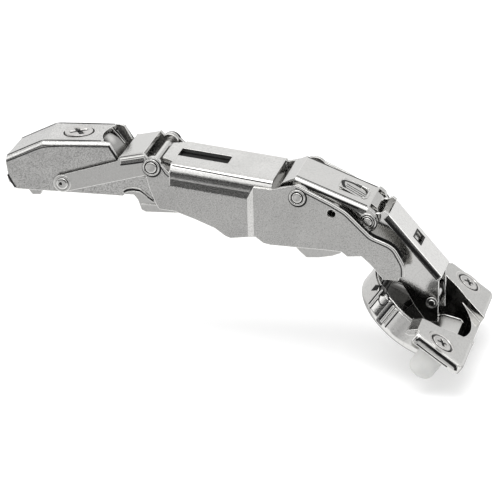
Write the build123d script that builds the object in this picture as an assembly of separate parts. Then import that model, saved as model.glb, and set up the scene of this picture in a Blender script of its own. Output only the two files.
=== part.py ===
from build123d import *
import math
import os

# Wide-angle concealed cup hinge, shown fully open.  Millimetres, +Z away from the cabinet side,
# +X from the arm towards the cup, origin on the arm's seat plane under the adjusting screw.
# Seven pivots: arm, rear link and main lever form a parallelogram; inner lever, front link and
# cup close on the main lever inside the cup.

os.makedirs("parts", exist_ok=True)

# ---- driving dimensions -------------------------------------------------------------------
# pivots, as (x, z) in the hinge's plane of motion
rear_pivot = (-2.3, 3.25)
link_run = 28.0
link_rise = 7.6
crossing_pivot = (69.6, 4.7)
front_pivot = (89.7, -2.7)
cup_pivot = (108.2, -28.0)
cup_centre = (106.6, -27.6)
cup_tilt = 36.1
lever_seat_u = -12.4
lever_seat_n = -3.3

# sheet and half widths, from the arm outwards and from the inner lever inwards
arm_sheet = 1.4
lever_sheet = 1.2
arm_half = 8.8
side_gap = 0.3
joggle = 0.55
bend_run = 2.9
bend_fall = 4.4
shoulder_flare = 0.5
shoulder_drop = 6.5
tongue_half = 6.0
tongue_root = 8.4
side_lean = 0.55
side_fall = 2.2
bridge_fall = 2.6
inner_half = 9.3
louvre_length = 8.0
louvre_half = 4.2
tab_tilt = 8.0
front_half = 6.5

# arm
arm_rear = -20.1
arm_rear_height = 10.0
arm_ridge = -8.6
arm_ridge_height = 15.6
arm_nose = 9.9
arm_nose_height = 16.45
scoop_r = 13.3
scoop_depth = 1.6
dish_r = 15.1
screw_head_r = 4.4
screw_shank_r = 2.6
latch_pin_r = 1.2

# pins
pin_r = 1.5
cup_pin_r = 1.25
pin_head_r = 1.75
pin_head = 0.45
running = 0.05
seat_gap = 0.02

# eyes
rear_eye = 2.7
knuckle_eye = 2.7
crossing_eye = 3.8
arm_pivot_eye = 3.5
front_eye = 2.75
front_link_eye = 2.35

# cup, in its own plane: u towards the wings, n out of the mouth
cup_r = 17.4
cup_wall = 0.9
cup_depth = 12.2
cup_rim = -2.6
wing_end = 5.0
flange_front = 18.4
wing_back = 1.2
wing_sheet = 1.2
slope_run = 2.1
corner_r = 2.2
flange_step = 2.1
lip_depth = 3.2
lip_sheet = 0.9
lip_draft = 0.35
lip_draft_height = 1.9
opening_front = 16.6
screw_u = 9.5
screw_pitch = 45.0
cup_screw_head_r = 3.9
cup_screw_r = 1.8
dowel_r = 4.0
dowel_tip = -12.4
dowel_nose = 2.4
neck = 0.3
door_gap = 0.1
cup_corner = 2.6
groove_width = 2.6
groove_depth = 0.42
groove_turn = 27.0
bracket_run = 5.0
leaf_from = 7.0
leaf_to = 13.9
leaf_half = 5.9
leaf_bend_n = -5.95
leaf_tip_n = -3.1
leaf_bend_r = 0.7

# ---- derived ------------------------------------------------------------------------------
core_half = arm_half - arm_sheet - side_gap / 6
latch_pin_half = arm_half - arm_sheet / 3
link_in = arm_half + side_gap
link_half = link_in + lever_sheet
main_in = link_half + side_gap
main_half = main_in + lever_sheet
main_out = main_half + joggle
inner_in = inner_half - lever_sheet
front_in = front_half - lever_sheet
knuckle_pivot = (rear_pivot[0] + link_run, rear_pivot[1] + link_rise)
arm_pivot = (crossing_pivot[0] - link_run, crossing_pivot[1] - link_rise)

tilt = math.radians(cup_tilt)
cup_plane = Plane(
    origin=(cup_centre[0], 0, cup_centre[1]),
    x_dir=(math.cos(tilt), 0, -math.sin(tilt)),
    z_dir=(math.sin(tilt), 0, math.cos(tilt)),
)


def cup_uv(point):
    """Cup-plane coordinates (u, n) of a point (x, z) of the side view."""
    dx = point[0] - cup_centre[0]
    dz = point[1] - cup_centre[1]
    return (dx * math.cos(tilt) - dz * math.sin(tilt), dx * math.sin(tilt) + dz * math.cos(tilt))


def side_xz(u, n):
    """Side-view coordinates (x, z) of a point (u, n) of the cup plane."""
    x = cup_centre[0] + u * math.cos(tilt) + n * math.sin(tilt)
    z = cup_centre[1] - u * math.sin(tilt) + n * math.cos(tilt)
    return (x, z)


lever_seat = side_xz(lever_seat_u, lever_seat_n)
flange_half = screw_pitch / 2 + wing_end
door_level = -lip_depth - door_gap


# ---- helpers ------------------------------------------------------------------------------
def slab(points, y0, y1):
    """Straight-sided outline (x, z) drawn in the side view, from y0 to y1."""
    line = Polyline(*[(x, 0, z) for x, z in points], close=True)
    face = make_face(line)
    return Pos(0, y0, 0) * extrude(face, amount=y1 - y0, dir=(0, 1, 0))


def barrel(centre, radius, y0, y1):
    """Round bar or eye across the hinge, from y0 to y1."""
    cyl = Cylinder(radius, y1 - y0, rotation=(90, 0, 0))
    return Pos(centre[0], (y0 + y1) / 2, centre[1]) * cyl


def pair(shape):
    """A shape and its mirror image on the other side of the hinge."""
    return shape + mirror(shape, about=Plane.XZ)


def nearest_edges(solid, points):
    """The edge whose middle lies nearest to each point."""
    found = []
    for point in points:
        found.append(min(solid.edges(), key=lambda e: (e.center() - Vector(*point)).length))
    return found


def along(line):
    """Plane across a roof line at its start: x across the hinge, y square to the roof, z along it."""
    dx = line[1][0] - line[0][0]
    dz = line[1][1] - line[0][1]
    return Plane(origin=(line[0][0], 0, line[0][1]), x_dir=(0, 1, 0), z_dir=(dx, 0, dz))


def lean_in(line, half, lean, fall):
    """What is cut off both sides so that they lean in by lean over the last fall below the roof line."""
    over = 1.0
    corner = [
        (half, -fall),
        (half + over, -fall),
        (half + over, over),
        (half - lean * (1 + over / fall), over),
    ]
    run = math.dist(*line)
    return pair(extrude(along(line) * make_face(Polyline(*corner, close=True)), amount=run))


def bent(outline, half, sheet, roofs, bends=(), bend_r=1.2, lean=None):
    """Sheet bent to a channel: two sides of the outline, joined by the roof bands."""
    solid = slab(outline, -half, half)
    top_half = half
    if lean:
        line, lean_run, lean_fall = lean
        solid -= lean_in(line, half, lean_run, lean_fall)
        top_half = half - lean_run
    marks = []
    for x, z in bends:
        marks.append((x, -top_half, z))
        marks.append((x, top_half, z))
    if marks:
        solid = fillet(nearest_edges(solid, marks), bend_r)
    hollow = Box(400, 2 * (half - sheet), 200)
    for roof in roofs:
        hollow -= slab(roof, -half, half)
    return solid - hollow


def band(start, end, sheet):
    """Roof band of one sheet under the line from start to end (left to right)."""
    dx = end[0] - start[0]
    dz = end[1] - start[1]
    length = math.hypot(dx, dz)
    nx = dz / length * sheet
    nz = -dx / length * sheet
    return [start, end, (end[0] + nx, end[1] + nz), (start[0] + nx, start[1] + nz)]


def middle(a, b):
    return ((a[0] + b[0]) / 2, (a[1] + b[1]) / 2)


def pin(centre, radius, half, head_r=pin_head_r):
    """Riveted pin: a bar with a low turned head at each end."""
    body = barrel(centre, radius, -half, half)
    head = barrel(centre, head_r, half, half + pin_head)
    head = chamfer(nearest_edges(head, [(centre[0], half + pin_head, centre[1])]), pin_head * 0.6)
    return body + pair(head)


def holes(centre, radius):
    return barrel(centre, radius, -60, 60)


def section(line, half, sheet, run, fall, flare, drop):
    """Roof sheet along a line: flat top, oval bends run by fall, sides flared out to half."""
    upright = half - flare
    outer = EllipticalCenterArc((upright - run, -fall), run, fall, start_angle=0, arc_size=90)
    inner = EllipticalCenterArc((upright - run, -fall), run - sheet, fall - sheet, start_angle=0, arc_size=90)
    right = outer @ 0
    side = [
        (right.X, right.Y),
        (half, -drop),
        (half - sheet, -drop),
        ((inner @ 0).X, (inner @ 0).Y),
    ]
    rim = Polyline(*side)
    top = Polyline(((outer @ 1).X, (outer @ 1).Y), (0, 0), (0, -sheet), ((inner @ 1).X, (inner @ 1).Y))
    face = make_face([outer, rim, inner, top])
    whole = face + mirror(face, about=Plane.YZ)
    return extrude(along(line) * whole, amount=math.dist(*line))


def dish(line, radius, half, sheet):
    """Trough of one sheet whose lowest line runs from start to end, hollowed to a radius."""
    dx = line[1][0] - line[0][0]
    dz = line[1][1] - line[0][1]
    length = math.hypot(dx, dz)
    up = (-dz / length * radius, dx / length * radius)
    centre = middle(*line)
    axis = Plane(origin=(centre[0] + up[0], 0, centre[1] + up[1]), z_dir=(dx / length, 0, dz / length))
    tube = axis * (Cylinder(radius + sheet, 2 * length) - Cylinder(radius, 2 * length))
    low = line[1][1]
    high = line[0][1] + sheet / 3
    return tube & slab([(0, low), (line[1][0] + 2, low), (line[1][0] + 2, high), (0, high)], -half, half)


def walls(path, sheet, z0, z1):
    """Side plates whose outer face follows a path (x, y) in plan, one on each side."""
    back = [(x, y - sheet) for x, y in reversed(path)]
    face = make_face(Polyline(*[(x, y, z0) for x, y in [*path, *back]], close=True))
    return pair(extrude(face, amount=z1 - z0, dir=(0, 0, 1)))


# ---- hinge arm: outer shell ---------------------------------------------------------------
arm_outline = [
    (-17.4, 0.0),
    (16.0, 0.0),
    (16.9, 1.5),
    (19.2, 2.2),
    (21.3, 1.9),
    (24.2, -0.4),
    (25.9, -0.9),
    (26.4, 1.0),
    (25.4, 6.4),
    (16.0, 7.6),
    (14.8, 11.4),
    (12.2, 16.1),
    (arm_nose, arm_nose_height),
    (arm_ridge, arm_ridge_height),
    (arm_rear, arm_rear_height),
    (-20.1, 8.3),
    (-19.6, 4.4),
]
roof_line = ((arm_ridge, arm_ridge_height), (arm_nose, arm_nose_height))
slope_line = ((arm_rear, arm_rear_height), (arm_ridge, arm_ridge_height))
hinge_arm = bent(
    arm_outline,
    arm_half,
    arm_sheet,
    [band(*roof_line, arm_sheet), band(*slope_line, arm_sheet)],
    [middle(*roof_line), middle(*slope_line)],
    bend_r=1.7,
)
nose_scoop = Pos(arm_nose - scoop_depth + scoop_r, 0, arm_nose_height) * Cylinder(scoop_r, 8)
nose_scoop &= Box(200, 2 * core_half, 200)
screw_at = (0.4, 0.0)
hinge_arm -= nose_scoop
hinge_arm -= Pos(screw_at[0], 0, arm_nose_height) * Cylinder(screw_head_r + side_gap, 4 * arm_sheet)
hinge_arm -= holes(rear_pivot, pin_r + seat_gap)
latch_pivot = (-14.2, 6.6)
hinge_arm -= barrel(latch_pivot, latch_pin_r + seat_gap, -latch_pin_half, latch_pin_half)

# ---- arm core: inner channel with the dished nose, the screw seat and the front lobe ------
nose_edge = [(15.2, arm_nose_height - 8.6), (13.4, arm_nose_height - 5.55), (10.6, arm_nose_height - 1.55)]
nose_flat = ((6.5, arm_nose_height - 1.85), (7.6, arm_nose_height - 1.75))
dish_line = ((8.2, arm_nose_height - 2.15), (14.4, arm_nose_height - 9.55))
seat_line = ((-4.6, arm_nose_height - 5.65), (5.2, arm_nose_height - 5.25))
core_outline = [
    (-13.9, 0.0),
    (-13.9, -0.6),
    (-12.7, -2.1),
    (-10.2, -1.9),
    (-9.3, 0.0),
    (18.8, 0.0),
    (20.0, -1.5),
    (21.0, -4.6),
    (22.3, -5.2),
    (36.0, -4.7),
    (38.6, -5.2),
    (arm_pivot[0], arm_pivot[1] - arm_pivot_eye),
    (arm_pivot[0] + arm_pivot_eye, arm_pivot[1]),
    (arm_pivot[0], arm_pivot[1] + arm_pivot_eye),
    (30.0, 4.2),
    (17.0, 6.0),
    *nose_edge,
    nose_flat[0],
    seat_line[1],
    seat_line[0],
    (-8.0, 8.0),
    (-9.3, 3.0),
]
floor_line = ((-8.0, arm_sheet), (18.4, arm_sheet))
lobe_line = ((22.6, -5.2 + arm_sheet), (36.0, -4.7 + arm_sheet))
arm_core = bent(
    core_outline,
    core_half,
    arm_sheet,
    [
        band(*nose_flat, arm_sheet),
        band(*seat_line, arm_sheet),
        band(*floor_line, arm_sheet),
        band(*lobe_line, arm_sheet),
    ],
)
arm_core += dish(dish_line, dish_r, core_half - arm_sheet / 2, arm_sheet)
arm_core += barrel(arm_pivot, arm_pivot_eye, -core_half, -core_half + arm_sheet)
arm_core += barrel(arm_pivot, arm_pivot_eye, core_half - arm_sheet, core_half)
arm_core -= holes(rear_pivot, pin_r + seat_gap)
arm_core -= holes(arm_pivot, pin_r + seat_gap)
arm_core -= Pos(screw_at[0], 0, 11) * Cylinder(screw_shank_r + running, 6)

# ---- adjusting screw ----------------------------------------------------------------------
head_top = arm_nose_height - side_gap
head_thick = 2.2
head = Pos(screw_at[0], 0, head_top - head_thick / 2) * Cylinder(screw_head_r, head_thick)
head = chamfer(nearest_edges(head, [(screw_at[0], 0, head_top)]), 0.35)
shank_foot = 5.6
shank_length = head_top - head_thick - shank_foot
shank = Pos(screw_at[0], 0, shank_foot + shank_length / 2) * Cylinder(screw_shank_r, shank_length)
adjusting_screw = head + shank
recess_depth = 1.3
recess = Box(4.4, 1.1, recess_depth) + Box(1.1, 4.4, recess_depth)
adjusting_screw -= Pos(screw_at[0], 0, head_top - recess_depth / 2) * Rot(0, 0, 40) * recess

# ---- rear release latch -------------------------------------------------------------------
latch_half = core_half - arm_sheet - side_gap
latch_outline = [
    (-12.2, 8.4),
    (-16.4, 8.8),
    (-18.6, 6.6),
    (-19.0, 4.4),
    (-19.9, 3.5),
    (-20.9, 2.2),
    (-20.5, 0.8),
    (-19.5, 0.1),
    (-18.0, 0.1),
    (-16.6, 2.4),
    (-12.6, 4.4),
]
release_latch = bent(
    latch_outline,
    latch_half,
    lever_sheet,
    [[(-18.2, 2.6), (-19.0, 4.4), (-19.9, 3.5), (-20.9, 2.2), (-20.5, 0.8), (-19.5, 0.1), (-18.0, 0.1)]],
)
release_latch -= holes(latch_pivot, latch_pin_r + running)
latch_pin = barrel(latch_pivot, latch_pin_r, -latch_pin_half, latch_pin_half)

# ---- rear link ----------------------------------------------------------------------------
bridge_line = ((15.7, 12.9), (22.9, 14.5))
link_outline = [
    (-2.3, 5.9),
    (-1.3, 6.3),
    (14.2, 11.2),
    (15.0, 11.6),
    bridge_line[0],
    bridge_line[1],
    (24.0, 13.2),
    knuckle_pivot,
    (26.3, 8.2),
    (23.3, 7.6),
    (0.3, 1.2),
    (-2.3, 0.6),
]
rear_link = bent(
    link_outline,
    link_half,
    lever_sheet,
    [band(*bridge_line, lever_sheet)],
    [middle(*bridge_line)],
    lean=(bridge_line, side_lean, bridge_fall),
)
rear_link += pair(barrel(rear_pivot, rear_eye, link_in, link_half))
rear_link += pair(barrel(knuckle_pivot, knuckle_eye, link_in, link_half))
rear_link -= holes(rear_pivot, pin_r + running)
rear_link -= holes(knuckle_pivot, pin_r + running)

# ---- main lever ---------------------------------------------------------------------------
main_roof = ((31.2, 11.85), (61.8, 8.55))
shoulder_line = ((31.2, 5.4), (61.8, 2.1))
joggle_from = 54.4
joggle_to = 56.5
main_outline = [
    (knuckle_pivot[0] - 1.8, knuckle_pivot[1] - knuckle_eye + 0.4),
    (25.0, 4.2),
    (26.7, -0.4),
    (27.7, -2.1),
    (32.4, -2.5),
    (38.5, -4.6),
    (44.5, -7.0),
    (47.7, -9.3),
    (49.2, -9.8),
    (55.0, -9.0),
    (56.8, -8.6),
    (59.2, -10.4),
    (61.3, -10.8),
    (79.3, -11.2),
    (82.6, -11.4),
    (84.3, -12.8),
    (88.5, -12.4),
    (91.1, -14.7),
    (94.7, -18.8),
    (101.2, -18.2),
    (101.2, -14.8),
    (100.1, -12.6),
    (98.3, -9.4),
    (96.5, -8.1),
    (91.2, -6.1),
    (83.9, 1.1),
    (79.5, 3.6),
    (72.1, 7.1),
    (69.5, 8.4),
    (67.0, 7.9),
    (62.0, 6.6),
    (joggle_to, 6.9),
    (joggle_from, 2.9),
    (31.2, shoulder_line[0][1]),
    (31.2, 9.4),
    (28.2, 12.0),
    knuckle_pivot,
]
main_path = [
    (20.0, main_half),
    (joggle_from, main_half),
    (joggle_to, main_out),
    (105.0, main_out),
]
main_lever = walls(main_path, lever_sheet, -20, 14) & slab(main_outline, -main_out, main_out)
main_lever += section(main_roof, main_half, lever_sheet, bend_run, bend_fall, shoulder_flare, shoulder_drop)
tongue_tip = knuckle_pivot[0] + pin_r + 0.5
tongue_plan = [
    (tongue_tip, -tongue_half),
    (tongue_tip, tongue_half),
    (32.0, tongue_root),
    (32.0, -tongue_root),
]
tongue = extrude(make_face(Polyline(*[(x, y, 0) for x, y in tongue_plan], close=True)), amount=20)
tongue &= slab(band((tongue_tip - 1, 12.3), (33.0, 11.65), lever_sheet), -tongue_root, tongue_root)
claw_in = front_half + 0.45
claw_out = claw_in + lever_sheet
claw_top = lever_seat[1] + 3.8
claw_step = slab(
    [(94.6, claw_top), (99.6, claw_top), (99.6, claw_top + lever_sheet), (94.6, claw_top + lever_sheet)],
    claw_in,
    main_out,
)
claw_hook = slab(
    [
        (lever_seat[0] + 1.9, claw_top + lever_sheet),
        (lever_seat[0] + 1.9, lever_seat[1] + 0.9),
        (lever_seat[0] + 3.4, lever_seat[1] + 0.9),
        (lever_seat[0] + 4.9, claw_top),
        (lever_seat[0] + 4.9, claw_top + lever_sheet),
    ],
    claw_in,
    claw_out,
)
main_lever += tongue
main_lever += pair(barrel(knuckle_pivot, knuckle_eye, main_in, main_half))
main_lever += pair(barrel(crossing_pivot, crossing_eye, main_out - lever_sheet, main_out))
main_lever += pair(claw_step) + pair(claw_hook)
slot = Box(15.3, 6.0, 10, align=(Align.MIN, Align.CENTER, Align.CENTER))
main_lever -= Pos(31.4, 0, 11.2) * Rot(0, 6.1, 0) * slot
main_lever -= holes(knuckle_pivot, pin_r + seat_gap)
main_lever -= holes(crossing_pivot, pin_r + running)
main_lever -= holes((79.7, 0.4), 1.3)

# ---- inner lever --------------------------------------------------------------------------
inner_roof = ((68.4, 9.75), (89.9, 1.5))
inner_web = ((61.3, 4.3), (64.6, 8.0))
inner_curl = (91.7, 0.1)
inner_outline = [
    (arm_pivot[0] - 1.0, arm_pivot[1] + arm_pivot_eye - 0.2),
    (45.0, 2.0),
    (58.0, 3.2),
    inner_web[0],
    inner_web[1],
    inner_roof[0],
    inner_roof[1],
    inner_curl,
    (front_pivot[0] + front_eye, front_pivot[1]),
    (front_pivot[0], front_pivot[1] - front_eye),
    (85.0, -8.2),
    (81.6, -13.2),
    (79.2, -14.2),
    (75.3, -15.0),
    (71.4, -15.3),
    (69.3, -13.4),
    (64.0, -7.4),
    (46.0, -5.4),
    (arm_pivot[0], arm_pivot[1] - arm_pivot_eye),
]
inner_lever = bent(
    inner_outline,
    inner_half,
    lever_sheet,
    [
        band(*inner_roof, lever_sheet),
        band(*inner_web, lever_sheet),
        band(inner_web[1], inner_roof[0], lever_sheet),
        band(inner_roof[1], inner_curl, lever_sheet),
        band(inner_curl, (front_pivot[0] + front_eye, front_pivot[1]), lever_sheet),
    ],
    [middle(*inner_roof)],
    bend_r=1.5,
    lean=(inner_roof, side_lean, side_fall),
)
inner_lever += pair(barrel(arm_pivot, arm_pivot_eye, inner_in, inner_half))
inner_lever += pair(barrel(front_pivot, front_eye, inner_in, inner_half))
inner_lever -= holes(arm_pivot, pin_r + running)
inner_lever -= holes(crossing_pivot, pin_r + seat_gap)
inner_lever -= holes(front_pivot, pin_r + seat_gap)
notch = Box(4.4, 2.8, 8)
inner_lever -= Pos(92.0, -6.0, 0.45) * Rot(0, 21, 0) * notch
inner_lever -= Pos(92.0, 6.0, 0.45) * Rot(0, 21, 0) * notch

# louvre: a window in the roof with a ribbed tab that starts proud and dips through it
roof_fall = math.degrees(math.atan2(inner_roof[0][1] - inner_roof[1][1], inner_roof[1][0] - inner_roof[0][0]))
louvre_at = Pos(84.4, 0, inner_roof[1][1] + (inner_roof[1][0] - 84.4) * math.tan(math.radians(roof_fall)))
window_block = Box(louvre_length, 2 * louvre_half, 6)
window_block = fillet(window_block.edges().filter_by(Axis.Z), 1.4)
tab = Box(louvre_length + 0.4, 2 * louvre_half - 1.2, lever_sheet)
for rib in (-2.3, -1.0, 0.3):
    tab -= Pos(0.6, rib, lever_sheet / 2) * Box(louvre_length - 1.6, 0.55, 0.8)
inner_lever -= louvre_at * Rot(0, roof_fall, 0) * window_block
inner_lever += louvre_at * Rot(0, roof_fall + tab_tilt, 0) * Pos(-0.4, 0, -lever_sheet / 2) * tab

# ---- front link ---------------------------------------------------------------------------
front_roof = ((95.6, -1.1), (111.3, -19.5))
front_outline_k = [
    (front_pivot[0] - 1.2, front_pivot[1] + 2.0),
    (92.8, -1.0),
    (94.3, -0.2),
    front_roof[0],
    front_roof[1],
    (110.3, -21.0),
    (110.1, -34.0),
    (106.6, -34.2),
    (103.2, -29.4),
    (99.4, -22.6),
    (96.6, -16.2),
    (92.0, -9.8),
    (89.6, -6.6),
    (front_pivot[0] - front_link_eye, front_pivot[1] - 0.6),
]
front_link = bent(
    front_outline_k,
    front_half,
    lever_sheet,
    [band(*front_roof, lever_sheet)],
    [middle(*front_roof)],
    bend_r=0.9,
    lean=(front_roof, side_lean, side_fall),
)
front_link += pair(barrel(front_pivot, front_link_eye, front_in, front_half))
front_link -= holes(front_pivot, pin_r + running)
front_link -= holes(cup_pivot, pin_r + running)
window = Box(3.0, 5.6, 8)
front_link -= Pos(103.3, 0, -10.1) * Rot(0, 49.5, 0) * window

# ---- cup: pressed shell, stepped flange and raised wings ------------------------------------
def plan(points, n0, n1):
    """Outline (u, y) in the cup plane, from level n0 to n1."""
    face = make_face(Polyline(*[(u, y, n0) for u, y in points], close=True))
    return extrude(face, amount=n1 - n0, dir=(0, 0, 1))


def disc(u, y, radius, n0, n1):
    return Pos(u, y, (n0 + n1) / 2) * Cylinder(radius, n1 - n0)


step_back = 17.2
step_front = 8.9
wing_outline = [
    (wing_back, step_back),
    (flange_front, step_front),
    (flange_front, flange_half),
    (wing_back, flange_half),
]
block = plan(wing_outline, -lip_depth, 0)
corners = [(wing_back, flange_half, -lip_depth / 2), (flange_front, flange_half, -lip_depth / 2)]
block = fillet(nearest_edges(block, corners), corner_r)
rim_marks = [
    (flange_front, middle((0, step_front), (0, flange_half))[1], 0),
    (middle((wing_back, 0), (flange_front, 0))[0], flange_half, 0),
    (flange_front - 0.64, flange_half - 0.64, 0),
]
block = fillet(nearest_edges(block, rim_marks), 1.1)
under_outline = [
    (wing_back - 5, 0),
    (flange_front - lip_sheet, 0),
    (flange_front - lip_sheet, flange_half - lip_sheet),
    (wing_back - 5, flange_half - lip_sheet),
]
block -= plan(under_outline, -lip_depth - 1, -wing_sheet)
draft = make_face(
    Polyline(
        (0, flange_half, -lip_depth + lip_draft_height),
        (0, flange_half + 1, -lip_depth + lip_draft_height),
        (0, flange_half + 1, -lip_depth - 1),
        (0, flange_half - lip_draft, -lip_depth),
        close=True,
    )
)
block -= Pos(wing_back, 0, 0) * extrude(draft, amount=flange_front, dir=(1, 0, 0))
riser = plan(
    [
        (wing_back, step_back),
        (flange_front, step_front),
        (flange_front, step_front + wing_sheet),
        (wing_back, step_back + wing_sheet),
    ],
    -flange_step - wing_sheet,
    0,
)
slope_face = make_face(
    Polyline(
        (wing_back + wing_sheet, 0, 0),
        (wing_back, 0, 0),
        (wing_back - slope_run, 0, -flange_step),
        (wing_back - slope_run, 0, -flange_step - wing_sheet),
        (wing_back - slope_run + wing_sheet, 0, -flange_step - wing_sheet),
        (wing_back + wing_sheet, 0, -wing_sheet),
        close=True,
    )
)
slope_width = flange_half - step_back - corner_r
back_slope = Pos(0, step_back, 0) * extrude(slope_face, amount=slope_width, dir=(0, 1, 0))
low_plate = plan(
    [
        (wing_back - slope_run, -step_back),
        (wing_back - slope_run, step_back),
        (wing_back, step_back),
        (flange_front, step_front),
        (flange_front, -step_front),
        (wing_back, -step_back),
    ],
    -flange_step - wing_sheet,
    -flange_step,
)
front_lip = plan(
    [
        (flange_front - wing_sheet, -step_front),
        (flange_front - wing_sheet, step_front),
        (flange_front, step_front),
        (flange_front, -step_front),
    ],
    -lip_depth,
    -flange_step,
)
bowl = disc(0, 0, cup_r, -cup_depth, door_level)
bowl = fillet(nearest_edges(bowl, [(0, 0, -cup_depth)]), cup_corner)
bowl += disc(0, 0, cup_r - neck, door_level, cup_rim)
hollow = disc(0, 0, cup_r - cup_wall, -cup_depth + cup_wall, 2)
hollow = fillet(nearest_edges(hollow, [(0, 0, -cup_depth + cup_wall)]), cup_corner - cup_wall)
mouth = hollow & Pos(opening_front, 0, 0) * Box(60, 60, 60, align=(Align.MAX, Align.CENTER, Align.CENTER))
flange = pair(block) + pair(riser) + pair(back_slope) + low_plate + front_lip
cup_local = bowl + flange - mouth
cup_local -= hollow & disc(0, 0, cup_r, -cup_depth, cup_rim)
groove = Pos(0, -cup_r, -1.9) * Box(groove_width, 2 * groove_depth, 2 * cup_depth - cup_corner)
cup_local -= pair(Rot(0, 0, -groove_turn) * groove)
for side in (-1, 1):
    cup_local -= disc(screw_u, side * screw_pitch / 2, cup_screw_r + 0.3, -8, 2)
    cup_local -= disc(screw_u, side * screw_pitch / 2, cup_screw_head_r + 0.2, -0.5, 2)
hinge_cup = cup_plane * cup_local
hinge_cup -= holes(lever_seat, cup_pin_r + seat_gap)

# pin across the cup for the main lever's claw, its ends flush with the neck of the wall
cup_lever_pin = barrel(lever_seat, cup_pin_r, -cup_r, cup_r)
cup_lever_pin &= cup_plane * disc(0, 0, cup_r - neck, -cup_depth, 0)

# ---- link bracket: floor plate with two lugs that carry the front link's pin ----------------
cup_pivot_u, cup_pivot_n = cup_uv(cup_pivot)
lug_eye = 2.7
bracket_half = front_in - 0.35
floor_n = -cup_depth + cup_wall
bracket_outline = [
    side_xz(cup_pivot_u - bracket_run, floor_n),
    side_xz(cup_pivot_u + bracket_run, floor_n),
    side_xz(cup_pivot_u + bracket_run, floor_n + lever_sheet),
    side_xz(cup_pivot_u + lug_eye, cup_pivot_n - 1.6),
    side_xz(cup_pivot_u + lug_eye, cup_pivot_n),
    side_xz(cup_pivot_u, cup_pivot_n + lug_eye),
    side_xz(cup_pivot_u - lug_eye, cup_pivot_n),
    side_xz(cup_pivot_u - bracket_run, floor_n + lever_sheet),
]
floor_band = [
    side_xz(cup_pivot_u - bracket_run, floor_n),
    side_xz(cup_pivot_u + bracket_run, floor_n),
    side_xz(cup_pivot_u + bracket_run, floor_n + lever_sheet),
    side_xz(cup_pivot_u - bracket_run, floor_n + lever_sheet),
]
link_bracket = bent(bracket_outline, bracket_half, lever_sheet, [floor_band])
link_bracket -= holes(cup_pivot, pin_r + seat_gap)
cup_link_pin = pin(cup_pivot, pin_r, front_half + 0.1, head_r=1.7)

# closing leaf: sprung tongue in front of the link, rising from the cup floor to the mouth
leaf_profile = [
    (leaf_from, floor_n),
    (leaf_from, leaf_bend_n),
    (leaf_to, leaf_tip_n),
    (leaf_to, leaf_tip_n - lip_sheet),
    (leaf_from + lip_sheet, leaf_bend_n - 0.6 * lip_sheet),
    (leaf_from + lip_sheet, floor_n),
]
leaf = slab(leaf_profile, -leaf_half, leaf_half)
leaf_bends = [(leaf_from, 0, leaf_bend_n), (leaf_from + lip_sheet, 0, leaf_bend_n - 0.6 * lip_sheet)]
leaf = fillet(nearest_edges(leaf, leaf_bends[:1]), leaf_bend_r + lip_sheet)
leaf = fillet(nearest_edges(leaf, leaf_bends[1:]), leaf_bend_r)
closing_leaf = cup_plane * leaf

# ---- pins and fasteners ---------------------------------------------------------------------
rear_pin = pin(rear_pivot, pin_r, link_half + 0.1)
knuckle_pin = pin(knuckle_pivot, pin_r, main_half + 0.1)
crossing_pin = pin(crossing_pivot, pin_r, main_out + 0.1)
arm_pivot_pin = barrel(arm_pivot, pin_r, -inner_half, inner_half)
front_pin = pin(front_pivot, pin_r, inner_half + 0.1)

fasteners = {}
for name, side in (("near", -1), ("far", 1)):
    y = side * screw_pitch / 2
    screw = disc(screw_u, y, cup_screw_head_r, -0.45, 0.35)
    screw = chamfer(nearest_edges(screw, [(screw_u, y, 0.35)]), 0.25)
    screw += disc(screw_u, y, cup_screw_r, -10.5, -0.45)
    cross = Box(3.4, 0.9, 0.7) + Box(0.9, 3.4, 0.7)
    screw -= Pos(screw_u, y, 0.1) * Rot(0, 0, 25) * cross
    fasteners["cup_screw_" + name] = cup_plane * screw
    dowel = disc(screw_u, y, dowel_r, dowel_tip, door_level)
    dowel = fillet(nearest_edges(dowel, [(screw_u, y, dowel_tip)]), dowel_nose)
    dowel += disc(screw_u, y, dowel_r - neck, door_level, -wing_sheet)
    dowel -= disc(screw_u, y, cup_screw_r + seat_gap, dowel_tip + 1.9, 0)
    fasteners["dowel_" + name] = cup_plane * dowel

nodes = {
    "hinge_arm": hinge_arm,
    "arm_core": arm_core,
    "adjusting_screw": adjusting_screw,
    "release_latch": release_latch,
    "latch_pin": latch_pin,
    "rear_link": rear_link,
    "rear_pin": rear_pin,
    "main_lever": main_lever,
    "knuckle_pin": knuckle_pin,
    "crossing_pin": crossing_pin,
    "inner_lever": inner_lever,
    "arm_pivot_pin": arm_pivot_pin,
    "front_pin": front_pin,
    "front_link": front_link,
    "hinge_cup": hinge_cup,
    "cup_lever_pin": cup_lever_pin,
    "cup_link_pin": cup_link_pin,
    "link_bracket": link_bracket,
    "closing_leaf": closing_leaf,
}
nodes.update(fasteners)

for name, shape in nodes.items():
    export_step(shape, "parts/" + name + ".step")
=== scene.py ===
"""Dresses the wide-angle concealed cup hinge: finishes, pressed details, studio and camera."""
import math

import bmesh
import bpy
import numpy as np
from bpy.props import FloatProperty, FloatVectorProperty, PointerProperty
from mathutils import Matrix, Vector


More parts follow.
